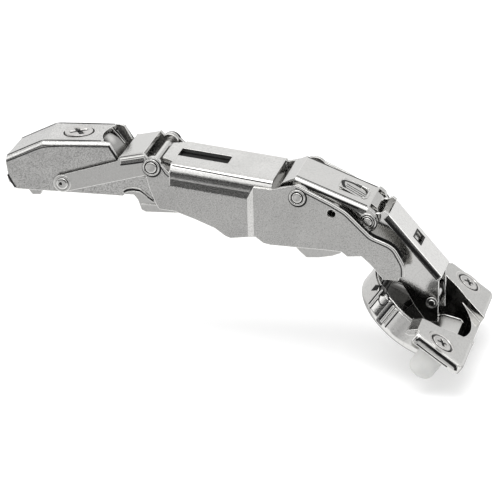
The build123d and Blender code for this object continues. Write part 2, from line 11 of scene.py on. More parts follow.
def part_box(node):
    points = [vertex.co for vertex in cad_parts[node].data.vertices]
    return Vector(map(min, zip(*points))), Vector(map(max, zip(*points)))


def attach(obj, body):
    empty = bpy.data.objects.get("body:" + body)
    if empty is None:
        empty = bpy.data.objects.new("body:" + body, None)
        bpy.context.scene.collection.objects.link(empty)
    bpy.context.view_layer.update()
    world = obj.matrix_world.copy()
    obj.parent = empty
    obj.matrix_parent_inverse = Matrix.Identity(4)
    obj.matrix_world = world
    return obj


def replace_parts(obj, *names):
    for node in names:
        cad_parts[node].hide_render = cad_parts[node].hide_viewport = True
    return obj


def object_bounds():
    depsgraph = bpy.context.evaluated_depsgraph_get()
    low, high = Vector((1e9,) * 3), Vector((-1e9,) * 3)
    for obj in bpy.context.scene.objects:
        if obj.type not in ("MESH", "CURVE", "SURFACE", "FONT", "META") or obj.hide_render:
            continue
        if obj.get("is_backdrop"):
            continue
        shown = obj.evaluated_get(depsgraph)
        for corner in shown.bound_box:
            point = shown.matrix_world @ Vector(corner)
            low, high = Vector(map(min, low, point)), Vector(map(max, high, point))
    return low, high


bl_info = {
    "name": "Wide-angle cup hinge",
    "version": (1, 0, 0),
    "blender": (4, 5, 0),
    "location": "3D View > Sidebar > Hinge",
    "description": "Finishes and pressed details for a wide-angle concealed cup hinge",
    "category": "Object",
}

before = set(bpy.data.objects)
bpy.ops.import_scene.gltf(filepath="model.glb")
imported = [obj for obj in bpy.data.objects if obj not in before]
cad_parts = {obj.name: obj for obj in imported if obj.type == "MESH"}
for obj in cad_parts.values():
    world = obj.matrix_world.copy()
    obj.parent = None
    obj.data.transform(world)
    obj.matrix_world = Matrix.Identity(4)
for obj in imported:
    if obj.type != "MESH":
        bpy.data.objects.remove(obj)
MM = 0.001

# the light tent: (angle round the long side in degrees, level), from under the front over to the back
TENT_TOP = 1.6
TENT = (
    (-180, 0.95), (-164, 0.95), (-161, 1.3), (-90, 1.3), (-60, 0.7), (-30, 0.6), (-12, 0.9), (3, 1.2),
    (82, 1.2), (86, 0.3), (90, 0.3), (94, 1.5), (153, 1.5), (158, 0.06), (176, 0.06), (179.9, 0.6),
)
# where the side plates look, and where the roofs look, the level also changes from left to right
FRONT_CARD = ((-166, 0), (-162, 1), (-149, 1), (-136, 0))
FRONT_SIDEWAYS = ((-0.62, 1.0), (-0.5, 0.4), (-0.32, 0.44), (-0.16, 0.6), (0.2, 0.7))
LOW_CARD = ((-180, 1), (-170, 1), (-166, 0))
LOW_SIDEWAYS = ((-0.54, 1.0), (-0.44, 0.05), (0.45, 0.05), (0.6, 0.6))
BACK_CARD = ((-10, 0), (0, 1), (80, 1), (90, 0))
BACK_SIDEWAYS = ((-0.44, 0.78), (-0.14, 1.0), (0.09, 0.86), (0.3, 0.62), (0.42, 0.86))
# how dark the painted shade is where two sheets meet
CREVICE_SHADE_LEVEL = 0.4
# outer faces of the plates, in millimetres from the hinge's middle plane
ARM_FACE, LINK_FACE, LEVER_FACE, EAR_FACE = 8.8, 10.3, 11.8, 12.35
INNER_FACE, FRONT_FACE, WING_FACE = 9.3, 6.5, 27.5
CUP_WALL = 17.4
# how steeply a roof falls toward the cup, in degrees
LOUVRE_FALL, WINDOW_FALL, CUP_FALL = 29.06, 49.5, 36.1
# where a cup screw stands in the cup's plane: forward of the centre, and to each side
SCREW_U, SCREW_Y = 9.5, 22.5
SIDES = (-1, 1)
# the slot of a piece's body, where the piece names none
SLOTS = dict.fromkeys(("arm", "rear_link", "main_lever"), "nickel_satin")
SLOTS |= dict.fromkeys(("inner_lever", "front_link", "cup"), "nickel_polished")


def slope(degrees):
    """Unit vectors down a roof that falls toward the cup, and straight out of it."""
    fall = math.radians(degrees)
    return np.array([math.cos(fall), 0.0, -math.sin(fall)]), np.array([math.sin(fall), 0.0, math.cos(fall)])


Y_AXIS = np.array([0.0, 1.0, 0.0])
CUP_AT = np.array([106.6, 0.0, -27.6])
CUP_AXES = np.array([slope(CUP_FALL)[0], Y_AXIS, slope(CUP_FALL)[1]])


# ---- sizes and finishes a user may change ---------------------------------------------------
def length(name, default, description):
    """A length property in metres, from a default in millimetres."""
    return FloatProperty(
        name=name, default=default * MM, min=0.0, unit="LENGTH", precision=5, description=description
    )


def colour(name, default, description):
    """A linear colour property."""
    return FloatVectorProperty(
        name=name, default=default, size=3, min=0.0, max=1.0, subtype="COLOR", description=description
    )


class HingeFinishes(bpy.types.PropertyGroup):
    """Colours and grain of the plated steel and of the plastic."""

    satin: colour("Satin nickel", (0.66, 0.655, 0.64), "Colour of the matt plated side plates")
    tumbled: colour("Tumbled nickel", (0.74, 0.735, 0.72), "Colour of the arm's grained shell")
    bright: colour("Bright nickel", (0.64, 0.635, 0.62), "Colour of the polished levers and cup")
    polished: colour("Polished nickel", (0.78, 0.775, 0.76), "Colour of the front link")
    rivet: colour("Rivet steel", (0.66, 0.655, 0.64), "Colour of the pins and their heads")
    screw: colour("Screw steel", (0.6, 0.59, 0.575), "Colour of the screws")
    dowel: colour("Dowel plastic", (0.66, 0.66, 0.645), "Colour of the translucent dowels")
    leaf: colour("Leaf steel", (0.66, 0.655, 0.64), "Colour of the closing leaf in the cup")
    # a near-black colour on the bracket and the lever pin in the cup
    dark_bracket: colour("Dark bracket steel", (0.12, 0.118, 0.115), "Colour of the bracket in the cup")
    # painted shade: colour of the dark strips laid in gaps, slots, recesses and bends
    gap: colour("Dark gap", (0.03, 0.03, 0.03), "Colour in narrow gaps and slots")
    grain: length("Grain", 0.36, "Width of the tumbled grain on the satin plates")
    edge: length("Edge rounding", 0.28, "Radius that catches the light on sheet edges")


class HingeStudio(bpy.types.PropertyGroup):
    """Floor, light and camera."""

    floor_drop: length("Floor drop", 3.0, "Gap between the lowest point and the floor")
    lens: FloatProperty(name="Lens", default=216.0, min=20.0, description="Focal length, mm, 36 mm sensor")
    key: FloatProperty(name="Key light", default=1.0, min=0.0, description="Strength of the overhead light")


# ---- materials ------------------------------------------------------------------------------
class Nodes:
    """A short way to add shader nodes to one material or world."""

    def __init__(self, tree):
        self.tree = tree
        tree.nodes.clear()

    def add(self, kind, **values):
        """Adds a node, sets its plain attributes and feeds its input sockets by name."""
        node = self.tree.nodes.new("ShaderNode" + kind)
        for key, value in values.items():
            if hasattr(node, key):
                setattr(node, key, value)
            else:
                self.feed(value, node.inputs[key.replace("_", " ")])
        return node

    def link(self, source, target):
        """Joins an output socket to an input socket."""
        self.tree.links.new(source, target)

    def feed(self, value, socket):
        """Puts a number, a colour or another node's output on a socket."""
        if isinstance(value, bpy.types.NodeSocket):
            self.link(value, socket)
        else:
            socket.default_value = value

    def math(self, operation, *values, kind="Math"):
        """The result of a sum of sockets and numbers, or of vectors where the kind is VectorMath."""
        node = self.add(kind, operation=operation)
        for value, socket in zip(values, node.inputs):
            self.feed(value, socket)
        return node.outputs["Value"]

    def mix(self, blend, first, second, part=1.0):
        """The result of two colours mixed."""
        node = self.add("MixRGB", blend_type=blend)
        for name, value in (("Fac", part), ("Color1", first), ("Color2", second)):
            self.feed(value, node.inputs[name])
        return node.outputs["Color"]

    def graph(self, source, stops, top=1.0):
        """A grey graph of a value: stops are (value, level), and the level is a share of the top."""
        low, high = stops[0][0], stops[-1][0]
        part = self.add("MapRange", Value=source, From_Min=low, From_Max=high)
        ramp = self.add("ValToRGB", Fac=part.outputs["Result"])
        bar = ramp.color_ramp
        while len(bar.elements) < len(stops):
            bar.elements.new(0.5)
        for element, (value, level) in zip(bar.elements, stops):
            element.position = (value - low) / (high - low)
            element.color = (*[level / top] * 3, 1.0)
        return ramp.outputs["Color"]

    def both(self, first, second, part=None):
        """One shader from two: their sum, or a mix by a part."""
        node = self.add("AddShader") if part is None else self.add("MixShader", Fac=part)
        self.link(first, node.inputs[-2])
        self.link(second, node.inputs[-1])
        return node.outputs["Shader"]


def radians(stops):
    """The same stops with their angles in radians."""
    return tuple((math.radians(degrees), level) for degrees, level in stops)


def blank(name):
    """A new material, a short way to add its nodes, and its output node."""
    material = bpy.data.materials.new(name)
    material.use_nodes = True
    n = Nodes(material.node_tree)
    return material, n, n.add("OutputMaterial")


def cup_painted_shade(n, place, level):
    """Painted shade inside the cup: a grey level that depends on the place in the cup."""
    tilt = (0.0, math.radians(CUP_FALL), 0.0)
    middle = (CUP_AT * MM).tolist()
    local = n.add("Mapping", vector_type="TEXTURE", Vector=place, Location=middle, Rotation=tilt)
    x, y, z = n.add("SeparateXYZ", Vector=local.outputs["Vector"]).outputs
    reach = n.math("SQRT", n.math("MULTIPLY_ADD", y, y, n.math("MULTIPLY", x, x)))
    outside = n.graph(reach, ((0.0165, 0.0), (0.0168, 1.0)))
    above = n.graph(z, ((-0.0119, 1.0), (-0.0115, 0.0), (-0.0042, 0.0), (-0.003, 1.0)))
    return n.graph(n.mix("LIGHTEN", outside, above), ((0.0, level), (1.0, 1.0)))


def metal(name, tint, rough, grain, height, edge, mottle=0.06, cup_shade=None, highlight_spot=None):
    """Plated steel: tumbled grain, cloudy patches, edges lightened by rubbed wear and a painted highlight, and
    painted shade where sheets meet.

    A cup shade level paints shade inside the cup. A highlight spot, (middle, stops), is a painted highlight
    that fades into painted shade round it."""
    material, n, out = blank(name)
    place = n.add("TexCoord").outputs["Object"]
    fine = n.add("TexNoise", Vector=place, Scale=1.0 / grain, Detail=2.0, Roughness=0.7).outputs["Fac"]
    cloud = n.add("TexNoise", Vector=place, Scale=110.0, Detail=4.0, Roughness=0.6).outputs["Fac"]
    # colour: the tint, darker in the grain's pits and a little uneven in patches
    pits = n.graph(fine, ((0.3, 1.0 - 3.0 * mottle), (0.42, 1.0 - 1.2 * mottle), (0.6, 1.0)))
    patch = n.graph(cloud, ((0.3, 1.0 - mottle), (0.7, 1.0)))
    tinted = n.mix("MULTIPLY", (*tint, 1.0), n.mix("MULTIPLY", pits, patch))
    # edges: the rounded normal differs from the flat one only near a sheet's edge
    rounded = n.add("Bevel", samples=8, Radius=edge).outputs["Normal"]
    turn = n.math("DOT_PRODUCT", rounded, n.add("NewGeometry").outputs["Normal"], kind="VectorMath")
    edge_wear_and_highlight = n.graph(turn, ((0.86, 1.0), (0.995, 0.0)))
    # edges lighter in colour: partly rubbed wear, partly a painted highlight
    tone = n.mix("MIX", tinted, (*[min(1.0, c * 1.25) for c in tint], 1.0), edge_wear_and_highlight)
    # painted shade: the colour darkens by ambient occlusion where two sheets meet
    crevice_shade = n.add("AmbientOcclusion", samples=8, Distance=0.0011)
    tone = n.mix("MULTIPLY", tone, n.graph(crevice_shade.outputs["AO"], ((0.25, CREVICE_SHADE_LEVEL), (0.85, 1.0))))
    # painted shade: darker inside the cup
    if cup_shade is not None:
        tone = n.mix("MULTIPLY", tone, cup_painted_shade(n, place, cup_shade))
    # painted highlight: a bright spot in the colour, with painted shade round it
    if highlight_spot is not None:
        middle, stops = highlight_spot
        reach = n.math("DISTANCE", place, (np.array(middle) * MM).tolist(), kind="VectorMath")
        tone = n.mix("MULTIPLY", tone, n.graph(reach, stops))
    # roughness: the finish, a little uneven, and smoother where edges are rubbed
    dull = n.graph(fine, ((0.3, rough * 0.85), (0.7, rough * 1.15)))
    dull = n.mix("MULTIPLY", dull, (0.6, 0.6, 0.6, 1.0), edge_wear_and_highlight)
    # bump: the grain's height in metres over the rounded normal
    bump = n.add("Bump", Height=fine, Normal=rounded, Strength=1.0, Distance=height)
    values = {"Metallic": 1.0, "Base_Color": tone, "Roughness": dull, "Normal": bump.outputs["Normal"]}
    n.link(n.add("BsdfPrincipled", **values).outputs["BSDF"], out.inputs["Surface"])
    return material


def plastic(name, tint, rough, milk):
    """Moulded translucent plastic: soft scatter inside, faint flow marks and a fine moulded skin."""
    material, n, out = blank(name)
    place = n.add("TexCoord").outputs["Object"]
    flow = n.add("TexNoise", Vector=place, Scale=260.0, Detail=3.0, Distortion=0.6).outputs["Fac"]
    skin = n.add("TexNoise", Vector=place, Scale=2500.0, Detail=2.0).outputs["Fac"]
    tone = n.mix("MULTIPLY", (*tint, 1.0), n.graph(flow, ((0.3, 0.93), (0.7, 1.0))))
    dull = n.graph(skin, ((0.0, rough * 0.8), (1.0, rough * 1.2)))
    bump = n.add("Bump", Height=skin, Strength=0.6, Distance=0.00002)
    values = {"IOR": 1.53, "Base_Color": tone, "Roughness": dull, "Normal": bump.outputs["Normal"]}
    scatter = {"Subsurface_Weight": milk, "Subsurface_Scale": 0.002, "Subsurface_Radius": (1.0, 1.0, 0.9)}
    n.link(n.add("BsdfPrincipled", **values, **scatter).outputs["BSDF"], out.inputs["Surface"])
    return material


# ---- surfaces -------------------------------------------------------------------------------
def in_cup(points):
    """Points (u, y, n) of the cup's plane, in the frame: the centre plus each axis times its share."""
    return CUP_AT + np.asarray(points, float) @ CUP_AXES


def spot(node):
    """Centre (x, z) and half length across the hinge of a pin, in millimetres, read from its CAD box."""
    low, high = (np.array(corner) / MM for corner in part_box(node))
    return (low + high) / 2, (high[1] - low[1]) / 2


def eased(path, count, soft=0):
    """A path of count points evenly spaced by length, each then moved soft times to its neighbours' mean."""
    path = np.asarray(path, float)
    gone = np.concatenate([[0.0], np.cumsum(np.linalg.norm(np.diff(path, axis=0), axis=1))])
    at = np.linspace(0.0, gone[-1], count)
    even = np.column_stack([np.interp(at, gone, path[:, k]) for k in range(path.shape[1])])
    for _ in range(soft):
        even[1:-1] = (even[:-2] + 2.0 * even[1:-1] + even[2:]) / 4.0
    return even


def on_face(points, y, count, soft=0):
    """A path through (x, z) points on a plate's face, a distance y across the hinge."""
    return eased([(x, y, z) for x, z in points], count, soft)


def headings(path):
    """Unit directions along a path, one at each point."""
    ahead = np.gradient(path, axis=0)
    return ahead / np.linalg.norm(ahead, axis=1, keepdims=True)


def turned(profile, centre, axes, steps=56):
    """A profile of (radius, height) turned about an axis: centre + r cos t e1 + r sin t e2 + h e3."""
    profile = np.asarray(profile, float)
    turn = np.linspace(0.0, 2.0 * np.pi, steps + 1)
    radius, height = profile[:, :1], profile[:, 1:]
    local = np.stack([radius * np.cos(turn), radius * np.sin(turn), height + 0.0 * turn], axis=-1)
    return np.asarray(centre, float) + local @ np.asarray(axes, float)


def faced(radius, relief, depth, centre, axes, rings=36, steps=96):
    """A round face whose height is relief(a, b), with a straight wall down by depth and a flat back."""
    turn = np.linspace(0.0, 2.0 * np.pi, steps + 1)
    out = radius * np.linspace(0.0, 1.0, rings)[:, None]
    a, b = out * np.cos(turn), out * np.sin(turn)
    front = np.stack([a, b, relief(a, b)], axis=-1)
    foot = np.stack([a[-1], b[-1], 0.0 * turn - depth], axis=-1)
    back = np.stack([0.0 * turn, 0.0 * turn, 0.0 * turn - depth], axis=-1)
    local = np.concatenate([front, foot[None], back[None]])
    return np.asarray(centre, float) + local @ np.asarray(axes, float)


def closed(rows):
    """A grid of closed loops with each end drawn together on its own middle."""
    first, last = (np.broadcast_to(row[:-1].mean(axis=0), row.shape) for row in (rows[0], rows[-1]))
    return np.concatenate([first[None], rows, last[None]])


def facing(side):
    """Axes of a round piece that looks out of one side: along, up and out."""
    return ((1, 0, 0), (0, 0, 1), (0, side, 0))


def washer(inner, outer, height, foot=-0.12):
    """Profile of a flat ring, its foot sunk in the sheet."""
    return np.array([(inner, foot), (inner, height), (outer, height), (outer, foot), (inner, foot)])


def tube(radius, steps=16):
    """Profile of a round rod."""
    arc = np.linspace(0.0, 2.0 * np.pi, steps, endpoint=False)
    return radius * np.column_stack([np.cos(arc), np.sin(arc)])


def carried(profile, path, out):
    """A closed profile of (side, height) carried along a path; height runs along out, side square to both.

    Each end closes on its own middle."""
    profile, path = np.asarray(profile, float), np.asarray(path, float)
    profile = np.vstack([profile, profile[:1]])
    ahead = headings(path)
    out = np.broadcast_to(np.asarray(out, float), path.shape)
    side = np.cross(out, ahead)
    side /= np.linalg.norm(side, axis=1, keepdims=True)
    high = np.cross(ahead, side)
    rows = path[:, None] + profile[None, :, :1] * side[:, None] + profile[None, :, 1:] * high[:, None]
    return closed(rows)


def strip(side, height, path, out, foot=-0.1):
    """A flat strip carried along a path: in the painted shade finish, the thin dark line of a gap or a groove.
    """
    return carried(((side, foot), (side, height), (-side, height), (-side, foot)), path, out)


def bead(side, height, path, out, steps=10):
    """A low round bead carried along a path: half an ellipse on a flat foot sunk a little."""
    arc = np.linspace(0.0, np.pi, steps)
    top = np.column_stack([side * np.cos(arc), height * np.sin(arc)])
    return carried(np.vstack([top, [(-side, -0.15), (side, -0.15)]]), path, out)


def sheet(face, thick, out):
    """A sheet from a grid of points: the grid, and the same grid moved back along out, joined round."""
    face = np.asarray(face, float)
    back = face - thick * np.asarray(out, float)
    return closed(np.concatenate([face, back[:, ::-1], face[:, :1]], axis=1))


def piece(name, grids, finish, body, slot=None, crease=40.0):
    """One mesh from grids of points in millimetres: neighbours make quads, doubles merge, faces look out."""
    points, quads, count = [], [], 0
    for grid in grids:
        rows, columns = grid.shape[:2]
        index = np.arange(rows * columns).reshape(rows, columns) + count
        corners = (index[:-1, :-1], index[:-1, 1:], index[1:, 1:], index[1:, :-1])
        quads.append(np.stack(corners, axis=-1).reshape(-1, 4))
        points.append(grid.reshape(-1, 3) * MM)
        count += rows * columns
    mesh = bpy.data.meshes.new(name)
    mesh.from_pydata(np.concatenate(points).tolist(), [], np.concatenate(quads).tolist())
    tidy = bmesh.new()
    tidy.from_mesh(mesh)
    bmesh.ops.remove_doubles(tidy, verts=tidy.verts, dist=1e-7)
    bmesh.ops.dissolve_degenerate(tidy, edges=tidy.edges, dist=1e-7)
    bmesh.ops.recalc_face_normals(tidy, faces=tidy.faces)
    tidy.to_mesh(mesh)
    tidy.free()
    mesh.materials.append(bpy.data.materials[finish])
    mesh.polygons.foreach_set("use_smooth", np.ones(len(mesh.polygons), bool))
    mesh.set_sharp_from_angle(angle=math.radians(crease))
    made = bpy.data.objects.new(name, mesh)
    bpy.context.scene.collection.objects.link(made)
    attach(made, body)
    slot or SLOTS[body]
    return made


def dress(finish, *nodes):
    """Gives CAD nodes one finish that a maker has mixed."""
    for node in nodes:
        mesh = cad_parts[node].data
        mesh.materials.clear()
        mesh.materials.append(bpy.data.materials[finish])


# ---- operators ------------------------------------------------------------------------------
class HINGE_OT_plates(bpy.types.Operator):
    """Finish the plated arm, links, levers and cup"""

    bl_idname = "hinge.plates"
    bl_label = "Plates"

    def execute(self, context):
        look = context.scene.hinge_finishes
        grain, edge = look.grain, look.edge
        metal("tumbled_nickel", look.tumbled, 0.2, grain, 0.00004, edge, mottle=0.18)
        metal("satin_nickel", look.satin, 0.19, grain, 0.00003, edge, mottle=0.11)
        metal("smooth_nickel", look.satin, 0.18, grain, 0.000014, edge, mottle=0.04)
        metal("bright_nickel", look.bright, 0.13, grain * 2.0, 0.000012, edge, mottle=0.04)
        metal("polished_nickel", look.polished, 0.13, grain * 2.0, 0.000012, edge, mottle=0.04)
        # the cup's bright nickel, with painted shade inside it
        metal("cup_nickel_painted_shade", look.bright, 0.13, grain * 2.0, 0.000012, edge, mottle=0.04, cup_shade=0.38)
        # the arm's dished front: a painted highlight at one spot, painted shade round it
        stops = ((0.0, 0.98), (0.0007, 0.92), (0.0023, 0.52), (0.006, 0.44), (0.0085, 1.0))
        highlight_spot = ((9.3, 2.9, 13.4), stops)
        metal("arm_nickel_painted_highlight", look.satin, 0.18, grain, 0.000014, edge, mottle=0.04, highlight_spot=highlight_spot)
        metal("leaf_steel", look.leaf, 0.34, grain, 0.00001, edge)
        metal("dark_bracket_steel", look.dark_bracket, 0.3, grain, 0.00001, edge)
        # painted shade: the near-black finish of strips laid where only shade shows
        metal("painted_gap_shade", look.gap, 0.5, grain, 0.00001, edge)
        dress("tumbled_nickel", "hinge_arm")
        dress("satin_nickel", "main_lever")
        dress("smooth_nickel", "rear_link", "release_latch")
        dress("arm_nickel_painted_highlight", "arm_core")
        dress("bright_nickel", "inner_lever")
        dress("polished_nickel", "front_link")
        dress("cup_nickel_painted_shade", "hinge_cup")
        dress("dark_bracket_steel", "link_bracket", "cup_lever_pin")
        dress("leaf_steel", "closing_leaf")
        return {"FINISHED"}


class HINGE_OT_pins(bpy.types.Operator):
    """Make the peened pins, and finish the hidden ones"""

    bl_idname = "hinge.pins"
    bl_label = "Pins"

    def execute(self, context):
        look = context.scene.hinge_finishes
        metal("rivet_steel", look.rivet, 0.17, look.grain, 0.000008, look.edge)
        dress("rivet_steel", "latch_pin", "arm_pivot_pin")
        # name, body, head radius, head height above the sheet, depth of the dished middle
        for node, body, head, proud, dish in (
            ("knuckle_pin", "main_lever", 1.7, 0.42, 0.1),
            ("crossing_pin", "inner_lever", 1.55, 0.4, 0.1),
            ("front_pin", "inner_lever", 1.4, 0.4, 0.1),
            ("cup_link_pin", "cup", 1.1, 0.42, 0.06),
        ):
            centre, half = spot(node)
            end = self.head(head, proud, dish)
            end[:, 1] += half - 0.45
            whole = np.vstack([end * (1, -1), end[::-1]])
            grids = [turned(whole, centre, facing(1))]
            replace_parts(piece(node + "_peened", grids, "rivet_steel", body, "pin_steel"), node)
        self.rear()
        return {"FINISHED"}

    def head(self, radius, proud, dish):
        """Profile from the middle of a head out and down to its shank: a shallow dish, a rounded rim, a neck.

        Heights are above the sheet."""
        shares = (0.0, 0.45, 0.72, 0.86, 0.96, 1.0, 1.0)
        drops = (dish, 0.8 * dish, 0.01, 0.04, 0.14, 0.28, proud + 0.1)
        rim = [(share * radius, proud - drop) for share, drop in zip(shares, drops)]
        return np.array([*rim, (radius - 0.05, -0.16), (1.44, -0.16), (1.5, -0.1), (1.5, -1.0)])

    def rear(self):
        """The rear pin: a low dome at each end with a small pit beside its middle."""
        centre, half = spot("rear_pin")

        def relief(a, b):
            low = 0.1 * (a**2 + b**2) / 1.75**2 + 0.12 * np.clip((np.hypot(a, b) - 1.3) / 0.4, 0, 1) ** 2
            pit = np.clip(1.3 - np.hypot(a + 0.4, b - 0.05) / 0.5, 0, 1)
            return -low - 0.35 * pit

        grids, darks = [], []
        turn = np.radians(np.linspace(78.0, 18.0, 12))
        pit = ((0, -0.12), (0.3, -0.12), (0.42, -0.02), (0.42, -0.3), (0, -0.3))
        groove = ((0.2, -0.1), (0.12, 0.05), (-0.12, 0.05), (-0.2, -0.1))
        for side in SIDES:
            tip = centre + (0, side * half, 0)
            axes = facing(side)
            darks.append(turned(pit, tip + (-0.4, 0, 0.05), axes, 20))
            arc = np.column_stack([1.22 * np.cos(turn), np.full(12, -0.1 * side), 1.22 * np.sin(turn)])
            darks.append(carried(groove, tip + arc, (0, side, 0)))
            grids.append(faced(1.75, relief, 0.45, tip, axes))
        shank = ((0, -half + 0.4), (1.5, -half + 0.4), (1.5, half - 0.4), (0, half - 0.4))
        grids.append(turned(shank, centre, facing(1)))
        made = piece("rear_pin_peened", grids, "rivet_steel", "rear_link", "pin_steel")
        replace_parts(made, "rear_pin")
        # painted shade: dark pieces in the head's pit and along an arc of its rim
        piece("rear_pin_pit_shade", darks, "painted_gap_shade", "rear_link", "pin_steel")


class HINGE_OT_eyes(bpy.types.Operator):
    """Press the raised eyes round the pins"""

    bl_idname = "hinge.eyes"
    bl_label = "Pin eyes"

    def execute(self, context):
        # pin, body, finish, outer face, head, rings as (inner, outer, height), width of the painted shadow
        # outside
        for pin, body, finish, face, head, rings, shade in (
            ("rear", "rear_link", "smooth_nickel", LINK_FACE, 1.75, ((1.86, 2.64, 0.07),), 0.0),
            ("knuckle", "main_lever", "satin_nickel", LEVER_FACE, 1.7, ((1.95, 2.62, 0.36),), 0.3),
            ("crossing", "main_lever", "satin_nickel", EAR_FACE, 1.55, ((1.8, 2.5, 0.34),), 0.32),
            ("front", "inner_lever", "bright_nickel", INNER_FACE, 1.4,
             ((1.55, 1.98, 0.36), (2.12, 2.7, 0.26)), 0.1),
            ("cup_link", "cup", "leaf_steel", FRONT_FACE, 1.1, ((1.26, 1.75, 0.14),), 0.0),
        ):
            name = pin + "_eyes"
            centre, _ = spot(pin + "_pin")
            lights, darks = [], []
            for side in SIDES:
                axes = facing(side)
                middle = centre + (0, side * face, 0)
                lights += [turned(self.ring(*ring), middle, axes) for ring in rings]
                if pin != "rear":
                    # painted shade: a dark ring between the head and the raised ring
                    darks.append(turned(washer(head - 0.08, rings[-1][0] + 0.12, 0.07), middle, axes))
                if shade:
                    # painted shadow: a dark crescent outside the ring, moved down and along the hinge
                    outer = rings[-1][1]
                    aside = middle + (0.17, 0, -0.18)
                    darks.append(turned(washer(outer - 0.16, outer + shade, 0.04), aside, axes))
            piece(name, lights, finish, body)
            if darks:
                piece(name + "_gap_shade", darks, "painted_gap_shade", body)
        return {"FINISHED"}

    def ring(self, inner, outer, height):
        """Profile of a raised ring: a half round between two radii, its foot sunk in the sheet."""
        arc = np.linspace(np.pi, 0.0, 13)
        middle, reach = (inner + outer) / 2, (outer - inner) / 2
        round_top = np.column_stack([middle + reach * np.cos(arc), height * np.sin(arc)])
        foot = np.array([(outer, -0.2), (inner, -0.2), (inner, 0.0)])
        return np.vstack([round_top, foot])


class HINGE_OT_screws(bpy.types.Operator):
    """Make the cross-head screws with their threads"""

    bl_idname = "hinge.screws"
    bl_label = "Screws"

    def execute(self, context):
        look = context.scene.hinge_finishes
        metal("cut_steel", look.screw, 0.17, look.grain, 0.00001, look.edge)
        low, high = (np.array(corner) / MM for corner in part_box("adjusting_screw"))
        middle = (low + high) / 2
        top = np.array([middle[0], middle[1], high[2] + 0.3])
        upright = ((1, 0, 0), (0, 1, 0), (0, 0, 1))
        wall = ((4.35, -2.2), (4.4, -2.0), (4.4, -0.75), (4.18, -0.06), (4.1, -0.04), (3.9, -0.4))
        grids = [
            faced(4.1, self.crowned, 1.6, top, upright),
            turned([(0.0, -2.2), *wall, (0.0, -1.5)], top, upright),
            self.thread(2.6, high[2] - 2.0 - low[2], 0.8, (top[0], top[1], high[2] - 2.0), upright),
        ]
        made = piece("adjusting_screw_cut", grids, "cut_steel", "adjusting_screw", "screw_steel")
        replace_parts(made, "adjusting_screw")
        # painted shade: dark bars in the cross recess
        bars = self.bars(0.62, 2.75, 0.52, top, upright, -0.24)
        piece("adjusting_screw_cross_shade", bars, "painted_gap_shade", "adjusting_screw", "screw_steel")
        crosses = []
        for node in ("cup_screw_near", "cup_screw_far"):
            centre, _ = spot(node)
            side = math.copysign(SCREW_Y, centre[1])
            head = in_cup([(SCREW_U, side, 0.0)])[0]
            grids = [
                faced(4.8, self.countersunk, 0.5, head, CUP_AXES, rings=52),
                self.thread(1.8, 9.9, 0.9, in_cup([(SCREW_U, side, -0.5)])[0], CUP_AXES),
            ]
            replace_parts(piece(node + "_cut", grids, "cut_steel", "cup", "screw_steel"), node)
            # painted shade: dark bars in the cross recess and a dark ring in the head's groove
            crosses += self.bars(0.45, 1.8, 0.36, head, CUP_AXES, 0.02)
            crosses.append(turned(washer(3.06, 3.44, -0.06, foot=-0.3), head, CUP_AXES))
        piece("cup_screw_cross_shade", crosses, "painted_gap_shade", "cup", "screw_steel")
        return {"FINISHED"}

    def bars(self, turn, long, wide, top, axes, level):
        """Painted shade for a cross recess: two dark crossed bars with narrowed ends, a little below the head.
        """
        axes = np.asarray(axes, float)
        made = []
        for angle in (turn, turn + math.pi / 2):
            along = math.cos(angle) * axes[0] + math.sin(angle) * axes[1]
            reach = np.linspace(-long, long, 15)
            line = np.asarray(top, float) + reach[:, None] * along + level * axes[2]
            bar = strip(wide, 0.0, line, axes[2], foot=-0.3)
            thin = np.concatenate([[0.0], 1.0 - 0.65 * (np.abs(reach) / long) ** 3, [0.0]])[:, None, None]
            across = np.cross(axes[2], along)
            offset = (bar - np.concatenate([line[:1], line, line[-1:]])[:, None]) @ across
            made.append(bar - (1.0 - thin) * offset[..., None] * across)
        return made

    def cross(self, a, b, turn, long, wide, deep):
        """Depth of a cross recess: two bars of half length and half width, deepest along their middles."""
        c, s = math.cos(turn), math.sin(turn)
        p, q = np.abs(c * a + s * b), np.abs(c * b - s * a)
        bar = np.minimum(np.maximum(p / long, q / wide), np.maximum(p / wide, q / long))
        return -deep * np.clip((1.0 - bar) / 0.5, 0.0, 1.0)

    def crowned(self, a, b):
        """Height of the adjusting screw's head: a low crown, less the cross."""
        return self.cross(a, b, 0.62, 3.1, 0.85, 1.1) - 0.004 * (a**2 + b**2)

    def countersunk(self, a, b):
        """Height of a cup screw's head in its dimple: a dome, a groove and a raised ring, less the cross."""
        away = np.hypot(a, b)
        radii = (0.0, 1.9, 2.7, 3.0, 3.25, 3.5, 3.8, 4.1, 4.45, 4.7, 4.8)
        heights = (0.26, 0.24, 0.16, -0.05, -0.3, -0.2, 0.1, 0.22, 0.16, 0.03, -0.05)
        return np.interp(away, radii, heights) + self.cross(a, b, 0.45, 2.0, 0.6, 0.8)

    def thread(self, radius, deep, pitch, top, axes):
        """A threaded shank: the radius swings by a tenth as height over pitch less the turn goes round."""
        turn = np.linspace(0.0, 2.0 * np.pi, 33)
        down = np.linspace(0.0, -deep, int(deep / pitch * 8) + 1)[:, None]
        swing = np.abs(((down / pitch - turn / (2 * np.pi)) % 1.0) - 0.5) * 2.0
        round_at = radius * (0.84 + 0.16 * swing)
        wall = np.stack([round_at * np.cos(turn), round_at * np.sin(turn), down + 0.0 * turn], axis=-1)
        tip, cap = np.zeros((1, 33, 3)), np.zeros((1, 33, 3))
        tip[..., 2] = -deep
        return np.asarray(top, float) + np.concatenate([cap, wall, tip]) @ np.asarray(axes, float)


